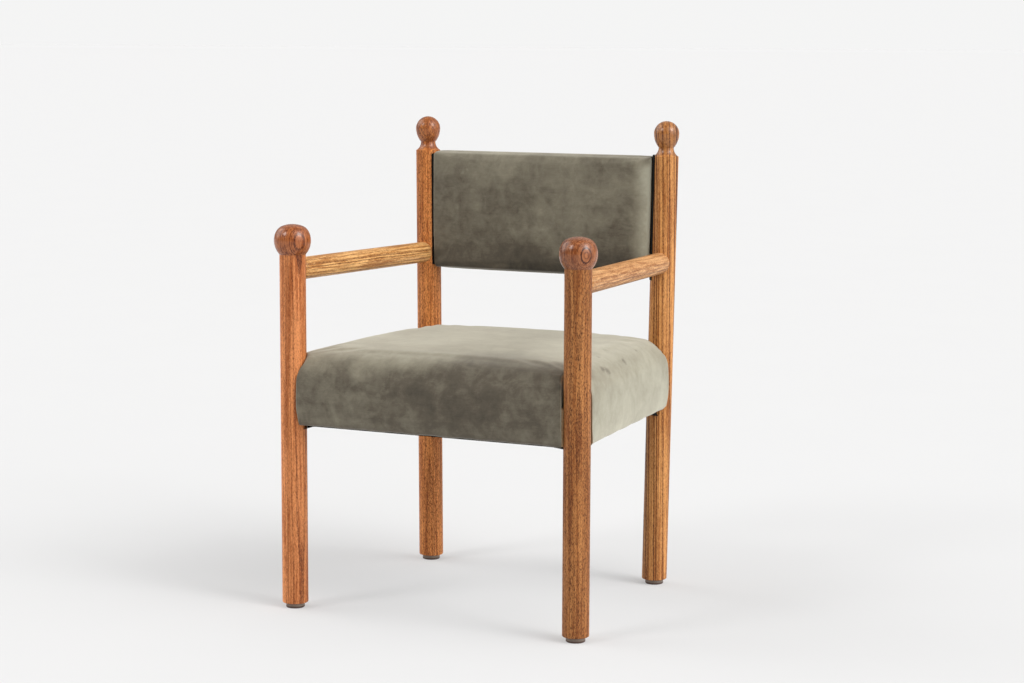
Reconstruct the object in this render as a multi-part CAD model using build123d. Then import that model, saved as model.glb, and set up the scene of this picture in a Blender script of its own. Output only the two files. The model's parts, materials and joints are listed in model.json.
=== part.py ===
from build123d import *
import os
from math import radians, sqrt, tan

# Dining armchair with turned oak posts and a leather seat and back panel, in millimetres.
# +X is the right seen from the front, -Y is the front, +Z is up.
# The origin lies on the floor, under the middle of the chair's box.

# Round posts
POST_DIA = 46.0
FRONT_SPACING = 544.0          # between the axes of the front posts
REAR_SPACING = 466.0           # between the axes of the rear posts, at the floor
POST_DEPTH = 450.0             # from the front axes back to the rear axes, at the floor
REAR_SPLAY = 0.73              # degrees that each rear post leans outwards
REAR_RAKE = 0.58               # degrees that the rear posts lean back
FOOT_ROUND = 2.0               # soft edge at the foot of a post

# Neck and ball turned on the top of each rear post
SHOULDER_HEIGHT = 791.5
NECK_DIA = 27.4
COVE_RADIUS = 18.0
BALL_DIA = 46.0
BALL_FLANK_RADIUS = 39.0       # the ball's underside runs in to the neck on this radius

# Round arms
ARM_DIA = 39.0
ARM_HEIGHT = 602.0             # axis at the front posts
ARM_FALL = 4.0                 # drop of the axis towards the rear posts
ARM_TENON_DIA = 20.0
ARM_END = 17.0                 # from a post's axis to the end of the arm's bar
ARM_END_ROUND = 7.0            # soft edge of that end, before it is scribed to the post

# Knobs on the front posts
ARM_TO_KNOB = 7.0              # bare post between the arm and the knob
KNOB_DIA = 64.6
KNOB_FLANK_RADIUS = 37.0       # the knob's underside runs in to the post on this radius
KNOB_FLAT = 4.0                # how far the crown lies below a full ball
KNOB_CROWN_RADIUS = 50.0
KNOB_SHOULDER_RADIUS = 20.0
KNOB_DOWEL_DIA = 12.0
KNOB_DOWEL_RISE = 22.0         # dowel above the post's top
DOWEL_WALL = 4.0               # wood left between the knob's dowel and the arm's tenon

# Seat frame inside the upholstery
RAIL_THICK = 24.0
RAIL_HEIGHT = 64.0
TENON_THICK = 10.0
TENON_HEIGHT = 44.0
TENON_ROOT = 6.0               # how far a tenon is rooted in the piece it grows from
MORTISE_WALL = 2.0             # wood left between two mortises that meet in a post
BLOCK_REACH = 95.0             # along the rail from the post's axis to the far end of a corner block
BLOCK_FACE = 36.0              # width of a corner block's glued face
BLOCK_HEIGHT = 44.0
SCREW_DIA = 4.5
SCREW_HEAD_DIA = 9.0
SCREW_HEAD_THICK = 3.0
SCREW_GRIP = 10.0              # corner block held under the screw head
SCREW_BITE = 14.0              # screw length in the rail

# Webbing over the seat frame
WEB_COUNT = 4                  # straps each way
WEB_WIDTH = 50.0
WEB_THICK = 1.6
WEB_PITCH = 95.0
WEB_EASE = 4.0                 # level stretch beyond a crossing strap's edge
WEB_TURN_IN = 4.0              # from the rail's outer edge to the strap's end

# Seat upholstery
SEAT_BOTTOM = 329.5
SEAT_TOP = 467.5               # top of the crown
SEAT_SETBACK = 1.5             # from the outside of the posts to the seat's faces
SEAT_CROWN_RADIUS = 9000.0
SEAT_SHOULDER_RADIUS = 46.0
SEAT_BULGE_RADIUS = 400.0      # the upright faces swell on this radius
SEAT_BULGE_HEIGHT = 45.0       # fullest height above the bottom
SEAT_BOTTOM_ROUND = 6.0
SEAT_TURN_UNDER = 27.0         # leather turned under the rails
LEATHER_THICK = 1.5
DUST_COVER_THICK = 0.8
DUST_COVER_INSET = 16.0        # from the seat's faces to the edge of the dust cover

# Back panel, upright between the rear posts
BACK_HEIGHT = 222.0            # its top is level with the posts' shoulders
BACK_PROUD = 27.0              # front of its crown, ahead of the posts' axes
BACK_LAP = 5.0                 # how far its edges lap past the inner sides of the posts
BACK_CROWN_RADIUS = 4500.0
BACK_CORNER_RADIUS = 8.5
BACK_EDGE_RADIUS = 8.0
BACK_REAR_ROUND = 3.0
BACK_FOAM_THICK = 22.0
BOARD_THICK = 15.0
BACK_TURN_IN = 20.0            # leather turned round onto the rear of the board
BACK_DOWEL_DIA = 10.0
BACK_DOWEL_IN_POST = 15.0
BACK_DOWEL_IN_BOARD = 25.0
BACK_DOWEL_INSET = 50.0        # from the panel's top and bottom to its dowels
OUTSIDE_BACK_INSET = 8.0       # from the panel's outline to the edge of the rear leather

# Glides under the posts
GLIDE_DIA = 33.0
GLIDE_HEIGHT = 9.0
GLIDE_CHAMFER = 1.0
NAIL_DIA = 3.0
NAIL_HEAD_DIA = 8.0
NAIL_HEAD_THICK = 1.6
NAIL_LENGTH = 18.0             # in the post

# Clearances
WOOD_FIT = 0.1                 # round a tenon or dowel, and at a scribed shoulder
BORE_RELIEF = 0.5              # below the end of a tenon or dowel
SOFT_GAP = 0.3                 # round foam, leather and webbing
NOTCH_GAP = 0.4                # from a post to the leather round it

# Values worked out from the above
POST_R = POST_DIA / 2
BALL_R = BALL_DIA / 2
KNOB_R = KNOB_DIA / 2
SPLAY_SLOPE = tan(radians(REAR_SPLAY))
RAKE_SLOPE = tan(radians(REAR_RAKE))
NECK_IN = POST_R - NECK_DIA / 2
NECK_TOP = SHOULDER_HEIGHT + sqrt(COVE_RADIUS**2 - (COVE_RADIUS - NECK_IN)**2)
BALL_SWELL = BALL_R - NECK_DIA / 2
BALL_CENTRE = NECK_TOP + sqrt(BALL_FLANK_RADIUS**2 - (BALL_FLANK_RADIUS - BALL_SWELL)**2)
BALL_TOP = BALL_CENTRE + BALL_R
CHAIR_DEPTH = KNOB_R + POST_DEPTH + BALL_CENTRE * RAKE_SLOPE + BALL_R
FRONT_Y = KNOB_R - CHAIR_DEPTH / 2
REAR_Y = FRONT_Y + POST_DEPTH
FRONT_POST_TOP = ARM_HEIGHT + ARM_DIA / 2 + ARM_TO_KNOB
KNOB_DOWEL_DEPTH = ARM_TO_KNOB + (ARM_DIA - ARM_TENON_DIA) / 2 - DOWEL_WALL
TENON_END = TENON_THICK / 2 + MORTISE_WALL
RAIL_BOTTOM = SEAT_BOTTOM + LEATHER_THICK + SOFT_GAP
RAIL_MID = RAIL_BOTTOM + RAIL_HEIGHT / 2
RAIL_TOP = RAIL_BOTTOM + RAIL_HEIGHT
FOAM_BOTTOM = RAIL_TOP + 2 * WEB_THICK + 2 * SOFT_GAP
SEAT_PROUD = POST_R - SEAT_SETBACK
SEAT_INSIDE = LEATHER_THICK + SOFT_GAP
BACK_TOP = SHOULDER_HEIGHT
BACK_BOTTOM = BACK_TOP - BACK_HEIGHT
BOARD_FRONT = SEAT_INSIDE + BACK_FOAM_THICK + SOFT_GAP - BACK_PROUD
BOARD_REAR = BOARD_FRONT + BOARD_THICK
BACK_REAR = BOARD_REAR + SEAT_INSIDE
FAR = 2 * BALL_TOP             # longer than anything that is cut

# The posts' feet on the floor, and the way each post leans
SIDES = {"left": -1, "right": 1}
POSTS = {}
for side_name, side in SIDES.items():
    POSTS["front_" + side_name] = (Vector(side * FRONT_SPACING / 2, FRONT_Y, 0), Vector(0, 0, 1))
    POSTS["rear_" + side_name] = (
        Vector(side * REAR_SPACING / 2, REAR_Y, 0),
        Vector(side * SPLAY_SLOPE, RAKE_SLOPE, 1),
    )
RAILS = {
    "front_seat_rail": ("front_left", "front_right"),
    "rear_seat_rail": ("rear_left", "rear_right"),
    "left_seat_rail": ("front_left", "rear_left"),
    "right_seat_rail": ("front_right", "rear_right"),
}
# The back panel is drawn upright on the rear axes, then leans back with the posts
BACK_LEAN = Pos(0, REAR_Y, 0) * Rot(-REAR_RAKE, 0, 0)


def axis_at(post, height):
    """Point on a post's axis at a height above the floor."""
    foot, lean = POSTS[post]
    return foot + lean * height


def rod(start, end, radius):
    """Round bar between two points."""
    along = end - start
    bar = Cylinder(radius, along.length, align=(Align.CENTER, Align.CENTER, Align.MIN))
    return Plane(origin=start, z_dir=along) * bar


def post_round(post, radius):
    """Endless round bar on a post's axis, for scribing and notching."""
    return rod(axis_at(post, -FAR), axis_at(post, FAR), radius)


def slab(low, high):
    """Everything between two heights."""
    return Pos(0, 0, low) * Box(FAR, FAR, high - low, align=(Align.CENTER, Align.CENTER, Align.MIN))


def only_solid(shape):
    """The main solid of a shape."""
    return shape.solids().sort_by(SortBy.VOLUME)[-1]


def rail_frame(rail):
    """Plane at the middle of a rail: x along it, z up."""
    first, last = RAILS[rail]
    start = axis_at(first, RAIL_MID)
    end = axis_at(last, RAIL_MID)
    return Plane(origin=(start + end) / 2, x_dir=end - start, z_dir=(0, 0, 1))


def rail_bar(rail, ease):
    """Squared rail from axis to axis, thicker and taller all round by the ease."""
    first, last = RAILS[rail]
    length = (axis_at(last, RAIL_MID) - axis_at(first, RAIL_MID)).length
    return rail_frame(rail) * Box(length, RAIL_THICK + 2 * ease, RAIL_HEIGHT + 2 * ease)


def rail_tenon(post, far_post, fit, relief):
    """Round-ended tongue from near the post's axis out into the rail."""
    start = axis_at(post, RAIL_MID)
    across = Plane(origin=start, x_dir=(0, 0, 1), z_dir=axis_at(far_post, RAIL_MID) - start)
    section = SlotOverall(TENON_HEIGHT + 2 * fit, TENON_THICK + 2 * fit)
    return extrude(across.offset(TENON_END - relief) * section, POST_R + TENON_ROOT - TENON_END + relief)


def arm_axis(side_name):
    """Ends of an arm's axis, on the front and the rear post."""
    front = axis_at("front_" + side_name, ARM_HEIGHT)
    rear = axis_at("rear_" + side_name, ARM_HEIGHT - ARM_FALL)
    return front, rear


def arm_tenon(start, far_end, fit, relief):
    """Round tongue on an arm's end, from near the post's axis out into the arm."""
    along = (far_end - start).normalized()
    return rod(
        start + along * (TENON_END - relief),
        start + along * (POST_R + TENON_ROOT),
        ARM_TENON_DIA / 2 + fit,
    )


def knob_dowel(side_name, fit, relief):
    """Dowel from the front post up into its knob."""
    post = "front_" + side_name
    low = axis_at(post, FRONT_POST_TOP - KNOB_DOWEL_DEPTH - relief)
    high = axis_at(post, FRONT_POST_TOP + KNOB_DOWEL_RISE + relief)
    return rod(low, high, KNOB_DOWEL_DIA / 2 + fit)


def back_dowels(side_name, fit, relief):
    """The two dowels that join one end of the back board to its post."""
    side = SIDES[side_name]
    middle = (BOARD_FRONT + BOARD_REAR) / 2
    pins = []
    for height in (BACK_BOTTOM + BACK_DOWEL_INSET, BACK_TOP - BACK_DOWEL_INSET):
        face = REAR_SPACING / 2 + height * SPLAY_SLOPE - POST_R
        inner = Vector(side * (face - BACK_DOWEL_IN_BOARD - relief), middle, height)
        outer = Vector(side * (face + BACK_DOWEL_IN_POST + relief), middle, height)
        pins.append(BACK_LEAN * rod(inner, outer, BACK_DOWEL_DIA / 2 + fit))
    return pins


def glide_nail(post, fit, relief):
    """Headed nail from the glide up into the post's foot."""
    seat = axis_at(post, GLIDE_HEIGHT)
    up = Vector(0, 0, 1)
    head = rod(seat - up * (NAIL_HEAD_THICK + relief), seat, NAIL_HEAD_DIA / 2 + fit)
    shank = rod(seat - up * NAIL_HEAD_THICK, seat + up * (NAIL_LENGTH + relief), NAIL_DIA / 2 + fit)
    return head + shank


def foot_softened(post):
    """A post with the edge of its foot rounded."""
    foot = post.faces().sort_by(Axis.Z)[0]
    return fillet(foot.edges(), FOOT_ROUND)


def front_post(side_name):
    """Plain round post, bored for the knob's dowel, the arm and two rails."""
    name = "front_" + side_name
    other = "front_right" if side_name == "left" else "front_left"
    post = foot_softened(rod(axis_at(name, GLIDE_HEIGHT), axis_at(name, FRONT_POST_TOP), POST_R))
    front, rear = arm_axis(side_name)
    post -= arm_tenon(front, rear, WOOD_FIT, BORE_RELIEF)
    post -= knob_dowel(side_name, WOOD_FIT, BORE_RELIEF)
    post -= rail_tenon(name, other, WOOD_FIT, BORE_RELIEF)
    post -= rail_tenon(name, "rear_" + side_name, WOOD_FIT, BORE_RELIEF)
    post -= glide_nail(name, WOOD_FIT, BORE_RELIEF)
    return only_solid(post)


def rear_post_blank(name):
    """Turned post with its cove neck and ball, leaning, and cut level at the foot."""
    foot, lean = POSTS[name]
    neck_r = NECK_DIA / 2
    outline = Polyline((0, BALL_TOP), (0, 0), (POST_R, 0), (POST_R, SHOULDER_HEIGHT))
    outline += RadiusArc((POST_R, SHOULDER_HEIGHT), (neck_r, NECK_TOP), COVE_RADIUS)
    outline += RadiusArc((neck_r, NECK_TOP), (BALL_R, BALL_CENTRE), -BALL_FLANK_RADIUS)
    outline += RadiusArc((BALL_R, BALL_CENTRE), (0, BALL_TOP), -BALL_R)
    turned = revolve(Plane.XZ * make_face(outline), Axis.Z)
    leaning = Plane(origin=foot, x_dir=(1, 0, 0), z_dir=lean) * turned
    return foot_softened(leaning - slab(-FAR, GLIDE_HEIGHT))


def rear_post(side_name):
    """Rear post, bored for the arm, two rails and the back panel's dowels."""
    name = "rear_" + side_name
    other = "rear_right" if side_name == "left" else "rear_left"
    post = rear_post_blank(name)
    front, rear = arm_axis(side_name)
    post -= arm_tenon(rear, front, WOOD_FIT, BORE_RELIEF)
    post -= rail_tenon(name, other, WOOD_FIT, BORE_RELIEF)
    post -= rail_tenon(name, "front_" + side_name, WOOD_FIT, BORE_RELIEF)
    post -= back_dowels(side_name, WOOD_FIT, BORE_RELIEF)
    post -= glide_nail(name, WOOD_FIT, BORE_RELIEF)
    return only_solid(post)


def knob(side_name):
    """Ball that runs in to the post below, with a low crown and a soft shoulder above."""
    flank_centre = KNOB_R - KNOB_FLANK_RADIUS
    seat = sqrt(KNOB_FLANK_RADIUS**2 - (POST_R - flank_centre) ** 2)
    crown_centre = KNOB_R - KNOB_FLAT - KNOB_CROWN_RADIUS
    upper = Circle(KNOB_R) & Pos(0, crown_centre) * Circle(KNOB_CROWN_RADIUS)
    upper &= Rectangle(KNOB_DIA, KNOB_DIA, align=(Align.MIN, Align.MIN))
    upper = fillet(upper.vertices().sort_by(Axis.Y)[-2], KNOB_SHOULDER_RADIUS)
    lower = Pos(flank_centre, 0) * Circle(KNOB_FLANK_RADIUS)
    lower &= Pos(0, -seat) * Rectangle(KNOB_DIA, seat, align=(Align.MIN, Align.MIN))
    turned = revolve(Plane.XZ * (upper + lower), Axis.Z)
    centre = axis_at("front_" + side_name, FRONT_POST_TOP + seat)
    return only_solid(Pos(*centre) * turned - knob_dowel(side_name, WOOD_FIT, BORE_RELIEF))


def arm(side_name):
    """Round arm with soft ends scribed to the posts and a turned tenon on each."""
    front, rear = arm_axis(side_name)
    setback = (rear - front).normalized() * ARM_END
    bar = rod(front + setback, rear - setback, ARM_DIA / 2)
    bar = fillet(bar.edges().filter_by(GeomType.CIRCLE), ARM_END_ROUND)
    bar -= post_round("front_" + side_name, POST_R + WOOD_FIT)
    bar -= post_round("rear_" + side_name, POST_R + WOOD_FIT)
    bar += arm_tenon(front, rear, 0, 0)
    bar += arm_tenon(rear, front, 0, 0)
    return only_solid(bar)


def block_screw_lines():
    """Head seat and driving direction of each corner block screw, by post."""
    lines = {}
    for rail, (first, last) in RAILS.items():
        for post, far_post in ((first, last), (last, first)):
            start = axis_at(post, RAIL_MID)
            along = (axis_at(far_post, RAIL_MID) - start).normalized()
            inward = Vector(-along.Y, along.X, 0)
            if inward.dot(Vector(0, 0, RAIL_MID) - start) < 0:
                inward = -inward
            lines.setdefault(post, []).append((start, along, inward))
    return lines


BLOCK_SIDES = block_screw_lines()


def block_screws(post, fit, head_room, relief):
    """The two screws of a corner block, one into each rail."""
    screws = []
    for start, along, inward in BLOCK_SIDES[post]:
        face = start + along * (BLOCK_REACH - BLOCK_FACE / 2) + inward * (RAIL_THICK / 2)
        seat = face + inward * SCREW_GRIP
        head = rod(seat, seat + inward * (SCREW_HEAD_THICK + head_room), SCREW_HEAD_DIA / 2 + fit)
        shank = rod(face - inward * (SCREW_BITE + relief), seat, SCREW_DIA / 2 + fit)
        screws.append(head + shank)
    return screws


def corner_block(post):
    """Glued brace across a corner of the seat frame."""
    corners = []
    for start, along, inward in BLOCK_SIDES[post]:
        face = start + inward * (RAIL_THICK / 2 + WOOD_FIT)
        corners.append((face + along * (BLOCK_REACH - BLOCK_FACE), face + along * BLOCK_REACH))
    (first_near, first_far), (second_near, second_far) = corners
    outline = make_face(Polyline(first_near, first_far, second_far, second_near, close=True))
    block = Pos(0, 0, -BLOCK_HEIGHT / 2) * extrude(outline, BLOCK_HEIGHT, dir=(0, 0, 1))
    for screw in block_screws(post, WOOD_FIT, BLOCK_REACH, BORE_RELIEF):
        block -= screw
    return only_solid(block)


def seat_rail(rail):
    """Rail with shoulders scribed to the posts, a tenon at each end, and its screw holes."""
    first, last = RAILS[rail]
    bar = rail_bar(rail, 0)
    for post, far_post in ((first, last), (last, first)):
        bar -= post_round(post, POST_R + WOOD_FIT)
        bar += rail_tenon(post, far_post, 0, 0)
        for screw in block_screws(post, WOOD_FIT, BLOCK_REACH, BORE_RELIEF):
            bar -= screw
    return only_solid(bar)


# Plan of the seat: the side faces run along the lines between the post axes
FRONT_CORNER = axis_at("front_right", RAIL_MID)
REAR_CORNER = axis_at("rear_right", RAIL_MID)
SIDE_SLOPE = (REAR_CORNER.X - FRONT_CORNER.X) / (REAR_CORNER.Y - FRONT_CORNER.Y)
SEAT_MIDDLE = (FRONT_CORNER.Y + REAR_CORNER.Y) / 2


def half_width(y, proud):
    """Distance from the middle to a line that stands proud of the side's post axes."""
    return FRONT_CORNER.X + (y - FRONT_CORNER.Y) * SIDE_SLOPE + proud * sqrt(1 + SIDE_SLOPE**2)


def seat_plan(proud):
    """Face of the seat's plan, standing proud of the lines between the post axes."""
    front = FRONT_CORNER.Y - proud
    rear = REAR_CORNER.Y + proud
    front_half = half_width(front, proud)
    rear_half = half_width(rear, proud)
    front_corners = [(-front_half, front), (front_half, front)]
    rear_corners = [(rear_half, rear), (-rear_half, rear)]
    return make_face(Polyline(*front_corners, *rear_corners, close=True))


def seat_prism(proud, low, high):
    """Upright prism on the seat's plan between two heights."""
    return Pos(0, 0, low) * extrude(seat_plan(proud), high - low)


def post_notch(post, radius):
    """Round notch at a post, open to the outside of the corner."""
    axis = axis_at(post, RAIL_MID)
    outward = (Align.MIN if axis.X > 0 else Align.MAX, Align.MIN if axis.Y > 0 else Align.MAX, Align.CENTER)
    return post_round(post, radius) + Pos(*axis) * Box(POST_DIA, POST_DIA, FAR, align=outward)


def seat_swell(height, inset):
    """How far the upright faces stand in from their fullest at a height."""
    radius = SEAT_BULGE_RADIUS - inset
    return radius - sqrt(radius**2 - (height - SEAT_BOTTOM - SEAT_BULGE_HEIGHT) ** 2)


def seat_form(inset):
    """The upholstered seat, with every face moved in by the inset."""
    sections = []
    for height in (SEAT_BOTTOM + inset, SEAT_BOTTOM + SEAT_BULGE_HEIGHT, SEAT_TOP + SEAT_SHOULDER_RADIUS):
        proud = SEAT_PROUD - inset - seat_swell(height, inset)
        sections.append(Pos(0, 0, height) * seat_plan(proud))
    crown = Rot(90, 0, 0) * Sphere(SEAT_CROWN_RADIUS - inset)
    form = loft(sections) & Pos(0, SEAT_MIDDLE, SEAT_TOP - SEAT_CROWN_RADIUS) * crown
    top = form.faces().filter_by(GeomType.SPHERE)[0]
    form = fillet(top.edges(), SEAT_SHOULDER_RADIUS - inset)
    for post in POSTS:
        form -= post_notch(post, POST_R + NOTCH_GAP + inset)
    bottom = only_solid(form).faces().sort_by(Axis.Z)[0]
    hems = bottom.edges().filter_by(GeomType.CIRCLE, reverse=True)
    return only_solid(fillet(hems, SEAT_BOTTOM_ROUND - inset))


def seat_cover():
    """Leather shell, turned under the rails and open round them where they enter the posts."""
    shell = seat_form(0) - seat_form(LEATHER_THICK)
    shell -= seat_prism(SEAT_PROUD - SEAT_TURN_UNDER, -FAR, RAIL_MID)
    for rail in RAILS:
        shell -= rail_bar(rail, SOFT_GAP)
    return only_solid(shell)


def seat_foam():
    """Foam block over the webbing, under the leather."""
    return only_solid(seat_form(SEAT_INSIDE) & slab(FOAM_BOTTOM, FAR))


def rail_padding():
    """Four strips of padding between the rails and the leather."""
    ring = seat_form(SEAT_INSIDE) & slab(RAIL_BOTTOM, FOAM_BOTTOM - SOFT_GAP)
    ring -= seat_prism(RAIL_THICK / 2 + SOFT_GAP, 0, FAR)
    return ring.solids()


def dust_cover():
    """Black cloth under the seat, cut out round the posts."""
    sheet = seat_prism(SEAT_PROUD - DUST_COVER_INSET, SEAT_BOTTOM - DUST_COVER_THICK, SEAT_BOTTOM)
    for post in POSTS:
        sheet -= post_notch(post, POST_R + NOTCH_GAP)
    return only_solid(sheet)


def strap_outline(start, end, crossings, first_over):
    """Side view of a strap that passes over and under the straps it crosses."""
    level = WEB_WIDTH / 2 + WEB_EASE
    lower = [(start, RAIL_TOP)]
    over = first_over
    for middle in crossings:
        height = RAIL_TOP + (WEB_THICK + SOFT_GAP if over else 0)
        lower += [(middle - level, height), (middle + level, height)]
        over = not over
    lower.append((end, RAIL_TOP))
    upper = [(along, height + WEB_THICK) for along, height in reversed(lower)]
    return make_face(Polyline(*lower, *upper, close=True))


def strap_places(middle):
    """Middle lines of the straps that run one way."""
    return [middle + WEB_PITCH * (index - (WEB_COUNT - 1) / 2) for index in range(WEB_COUNT)]


def webbing_lengthwise():
    """Straps from the front rail to the rear rail."""
    start = FRONT_CORNER.Y - RAIL_THICK / 2 + WEB_TURN_IN
    end = REAR_CORNER.Y + RAIL_THICK / 2 - WEB_TURN_IN
    straps = []
    for index, x in enumerate(strap_places(0)):
        outline = strap_outline(start, end, strap_places(SEAT_MIDDLE), index % 2 == 0)
        straps.append(extrude(Plane.YZ.offset(x) * outline, WEB_WIDTH / 2, both=True))
    return straps


def webbing_crosswise():
    """Straps from side rail to side rail."""
    straps = []
    for index, y in enumerate(strap_places(SEAT_MIDDLE)):
        end = half_width(y, RAIL_THICK / 2) - WEB_TURN_IN
        outline = strap_outline(-end, end, strap_places(0), index % 2 == 1)
        straps.append(extrude(Plane.XZ.offset(-y) * outline, WEB_WIDTH / 2, both=True))
    return straps


def back_outline(inset, corner_radius):
    """Front view of the back panel, wider towards the top as the posts splay."""
    low = BACK_BOTTOM + inset
    high = BACK_TOP - inset
    inner = REAR_SPACING / 2 - POST_R + BACK_LAP - inset
    low_half = inner + low * SPLAY_SLOPE
    high_half = inner + high * SPLAY_SLOPE
    outline = make_face(
        Polyline((-low_half, low), (low_half, low), (high_half, high), (-high_half, high), close=True)
    )
    return fillet(outline.vertices(), corner_radius)


def back_layer(inset, corner_radius, front, rear):
    """Slice of the back panel's outline between two depths."""
    return extrude(Plane.XZ.offset(-front) * back_outline(inset, corner_radius), front - rear)


def back_form(inset):
    """The upholstered back panel, with every face moved in by the inset, hollowed at the posts."""
    block = back_layer(inset, BACK_CORNER_RADIUS - inset, -2 * BACK_PROUD, BACK_REAR - inset)
    middle = Pos(0, BACK_CROWN_RADIUS - BACK_PROUD, (BACK_BOTTOM + BACK_TOP) / 2)
    form = block & middle * Sphere(BACK_CROWN_RADIUS - inset)
    form = fillet(form.faces().filter_by(GeomType.SPHERE)[0].edges(), BACK_EDGE_RADIUS - inset)
    form = fillet(form.faces().sort_by(Axis.Y)[-1].edges(), BACK_REAR_ROUND - inset)
    form = BACK_LEAN * form
    for side_name in SIDES:
        form -= post_round("rear_" + side_name, POST_R + NOTCH_GAP + inset)
    return only_solid(form)


def back_slice(front, rear):
    """Everything between two depths of the leaning back panel."""
    layer = Box(FAR, rear - front, 2 * FAR, align=(Align.CENTER, Align.MIN, Align.CENTER))
    return BACK_LEAN * Pos(0, front, 0) * layer


def back_cover():
    """Leather shell of the back panel, turned round onto the board's rear and holed for the dowels."""
    shell = back_form(0) - back_form(LEATHER_THICK)
    shell -= BACK_LEAN * back_layer(BACK_TURN_IN, BACK_CORNER_RADIUS, BOARD_REAR, 2 * BACK_REAR)
    for side_name in SIDES:
        for pin in back_dowels(side_name, SOFT_GAP, 0):
            shell -= pin
    return only_solid(shell)


def back_board():
    """Plywood board, scribed to the posts and bored for the dowels."""
    board = back_form(SEAT_INSIDE) & back_slice(BOARD_FRONT, BOARD_REAR)
    for side_name in SIDES:
        for pin in back_dowels(side_name, WOOD_FIT, BORE_RELIEF):
            board -= pin
    return only_solid(board)


def back_foam():
    """Foam on the front of the board."""
    return only_solid(back_form(SEAT_INSIDE) & back_slice(-FAR, BOARD_FRONT - SOFT_GAP))


def outside_back():
    """Leather panel that closes the rear of the back."""
    rear = BACK_REAR + LEATHER_THICK
    sheet = BACK_LEAN * back_layer(OUTSIDE_BACK_INSET, BACK_CORNER_RADIUS, BACK_REAR, rear)
    for side_name in SIDES:
        sheet -= post_round("rear_" + side_name, POST_R + NOTCH_GAP)
    return only_solid(sheet)


def glide(post):
    """Round glide with a soft lower rim and a pocket for its nail's head."""
    seat = axis_at(post, GLIDE_HEIGHT)
    disc = rod(seat - Vector(0, 0, GLIDE_HEIGHT), seat, GLIDE_DIA / 2)
    disc = chamfer(disc.faces().sort_by(Axis.Z)[0].edges(), GLIDE_CHAMFER)
    return only_solid(disc - glide_nail(post, WOOD_FIT, BORE_RELIEF))


nodes = {
    "knob_dowels": [knob_dowel(side_name, 0, 0) for side_name in SIDES],
    "corner_block_screws": [screw for post in POSTS for screw in block_screws(post, 0, 0, 0)],
    "seat_webbing_lengthwise": webbing_lengthwise(),
    "seat_webbing_crosswise": webbing_crosswise(),
    "seat_foam": seat_foam(),
    "rail_padding": rail_padding(),
    "seat_cover": seat_cover(),
    "dust_cover": dust_cover(),
    "back_board": back_board(),
    "back_dowels": [pin for side_name in SIDES for pin in back_dowels(side_name, 0, 0)],
    "back_foam": back_foam(),
    "back_cover": back_cover(),
    "outside_back": outside_back(),
    "glide_nails": [glide_nail(post, 0, 0) for post in POSTS],
}
for side_name in SIDES:
    nodes["front_" + side_name + "_post"] = front_post(side_name)
    nodes["rear_" + side_name + "_post"] = rear_post(side_name)
    nodes["front_" + side_name + "_knob"] = knob(side_name)
    nodes[side_name + "_arm"] = arm(side_name)
for rail in RAILS:
    nodes[rail] = seat_rail(rail)
for post in POSTS:
    nodes[post + "_corner_block"] = corner_block(post)
    nodes[post + "_glide"] = glide(post)

os.makedirs("parts", exist_ok=True)
for name, shape in nodes.items():
    if isinstance(shape, (list, ShapeList)):
        shape = Compound(children=[only_solid(piece) for piece in shape])
    export_step(shape, os.path.join("parts", name + ".step"))
    print(name, [round(size, 1) for size in shape.bounding_box().size])
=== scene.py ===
# %% [markdown]
# # A dining armchair with turned oak posts and a leather seat
# The wooden frame comes ready from the CAD model: four round posts, two round
# arms, two front knobs and everything hidden inside the seat. Blender gives
# the wood its grain, and makes the leather seat, the leather back and the
# black cloth under the seat as soft pieces that CAD can only block out.

# %% Load the CAD frame
import bpy
import json
from math import cos, radians, sin
import numpy as np
from mathutils import Matrix, Vector

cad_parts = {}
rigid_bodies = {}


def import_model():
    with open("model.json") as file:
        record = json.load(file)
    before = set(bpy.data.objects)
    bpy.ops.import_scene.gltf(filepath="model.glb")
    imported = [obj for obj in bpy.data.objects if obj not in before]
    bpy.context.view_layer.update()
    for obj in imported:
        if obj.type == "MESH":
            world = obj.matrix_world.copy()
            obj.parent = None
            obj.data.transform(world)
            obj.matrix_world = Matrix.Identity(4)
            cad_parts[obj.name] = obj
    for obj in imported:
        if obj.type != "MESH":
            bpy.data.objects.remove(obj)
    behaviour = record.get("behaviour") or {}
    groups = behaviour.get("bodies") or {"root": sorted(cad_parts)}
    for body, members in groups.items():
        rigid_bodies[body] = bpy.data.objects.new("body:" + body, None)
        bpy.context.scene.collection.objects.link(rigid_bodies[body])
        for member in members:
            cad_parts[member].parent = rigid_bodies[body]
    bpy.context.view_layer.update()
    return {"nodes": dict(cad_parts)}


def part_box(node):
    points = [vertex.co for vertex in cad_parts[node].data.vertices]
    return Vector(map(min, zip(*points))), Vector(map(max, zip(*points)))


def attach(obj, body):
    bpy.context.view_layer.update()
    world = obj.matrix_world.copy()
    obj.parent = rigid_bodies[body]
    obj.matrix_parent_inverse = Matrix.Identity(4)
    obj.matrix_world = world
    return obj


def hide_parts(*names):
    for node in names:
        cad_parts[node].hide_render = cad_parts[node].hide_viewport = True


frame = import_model()
nodes = frame["nodes"]

# %% [markdown]
# ## The camera
# The photograph was taken from the chair's front right, a little above the
# seat, with a long lens. Its place and lens were worked out from the ends of
# the posts and knobs, so the camera is set by numbers: where it stands, which
# way it looks, and how little it is tilted.

# %% Camera
CAMERA_PLACE = Vector((1.79776, -3.70105, 1.00608))
CAMERA_FORWARD = Vector((-0.42426, 0.89611, -0.13033)).normalized()
CAMERA_ROLL = radians(0.2234)
CAMERA_LENS = 81.53
CAMERA_SENSOR = 36.0

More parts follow.
